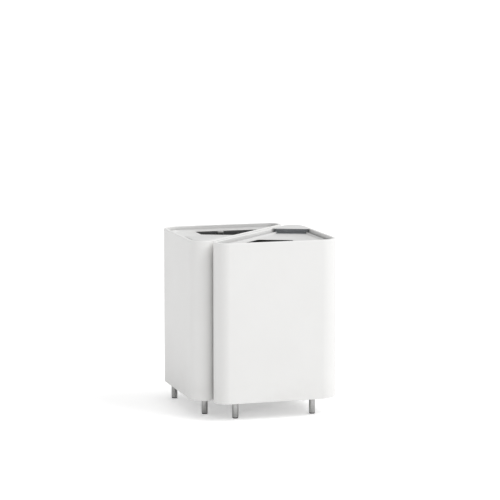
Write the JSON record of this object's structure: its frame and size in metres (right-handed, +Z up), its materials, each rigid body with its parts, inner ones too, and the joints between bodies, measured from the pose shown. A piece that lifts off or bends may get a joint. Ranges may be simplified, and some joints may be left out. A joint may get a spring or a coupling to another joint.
{
  "type": "recycling bin set",
  "caption": "Triangular white steel recycling bins on slim round legs, back to back as a square, with lift-off lids, open throw-in slots, hand grips and lift-out buckets.",
  "frame": {"origin": "middle of the pair's plan, on the floor", "axes": "+X along the front wall to the right, +Y to the rear, +Z up"},
  "size_m": [0.378, 0.3922, 0.461],
  "materials": {
    "white_paint": "satin white powder coat",
    "lid_paint": "satin off-white powder coat",
    "satin_steel": "satin brushed tube",
    "screw_steel": "zinc plated",
    "clip_steel": "stainless, satin",
    "grip_metal": "satin anodised",
    "dark_plastic": "matt moulded",
    "glide_plastic": "matt",
    "rubber": "matt"
  },
  "bodies": {
    "front_bin": {"front_shell": "white_paint", "front_base_pan": "white_paint", "front_leg_screws": "screw_steel", "front_clinch_nuts": "screw_steel", "front_bucket_pads": "rubber", "front_tip_leg": "satin_steel", "front_tip_leg_plate": "satin_steel", "front_tip_glide": "glide_plastic", "front_square_leg": "satin_steel", "front_square_leg_plate": "satin_steel", "front_square_glide": "glide_plastic", "front_far_leg": "satin_steel", "front_far_leg_plate": "satin_steel", "front_far_glide": "glide_plastic"},
    "front_liner": {"front_bucket": "dark_plastic", "front_bag_clips": "clip_steel"},
    "front_lid": {"front_lid_tray": "lid_paint", "front_lid_grip": "grip_metal", "front_grip_rivets": "clip_steel", "front_lid_bumpers": "rubber"},
    "rear_bin": {"rear_shell": "white_paint", "rear_base_pan": "white_paint", "rear_leg_screws": "screw_steel", "rear_clinch_nuts": "screw_steel", "rear_bucket_pads": "rubber", "rear_tip_leg": "satin_steel", "rear_tip_leg_plate": "satin_steel", "rear_tip_glide": "glide_plastic", "rear_square_leg": "satin_steel", "rear_square_leg_plate": "satin_steel", "rear_square_glide": "glide_plastic", "rear_far_leg": "satin_steel", "rear_far_leg_plate": "satin_steel", "rear_far_glide": "glide_plastic"},
    "rear_liner": {"rear_bucket": "dark_plastic", "rear_bag_clips": "clip_steel"},
    "rear_lid": {"rear_lid_tray": "lid_paint", "rear_lid_grip": "grip_metal", "rear_grip_rivets": "clip_steel", "rear_lid_bumpers": "rubber"}
  },
  "joints": [
    {"name": "rear_bin_slide", "type": "slide", "parent": "front_bin", "child": "rear_bin", "axis": [-0.7071, 0.7071, 0], "range_m": [0, 0.3]},
    {"name": "front_liner_lift", "type": "slide", "parent": "front_bin", "child": "front_liner", "axis": [0, 0, 1], "range_m": [0, 0.4]},
    {"name": "front_lid_lift", "type": "slide", "parent": "front_liner", "child": "front_lid", "axis": [0, 0, 1], "range_m": [0, 0.12]},
    {"name": "rear_liner_lift", "type": "slide", "parent": "rear_bin", "child": "rear_liner", "axis": [0, 0, 1], "range_m": [0, 0.4]},
    {"name": "rear_lid_lift", "type": "slide", "parent": "rear_liner", "child": "rear_lid", "axis": [0, 0, 1], "range_m": [0, 0.12]}
  ]
}
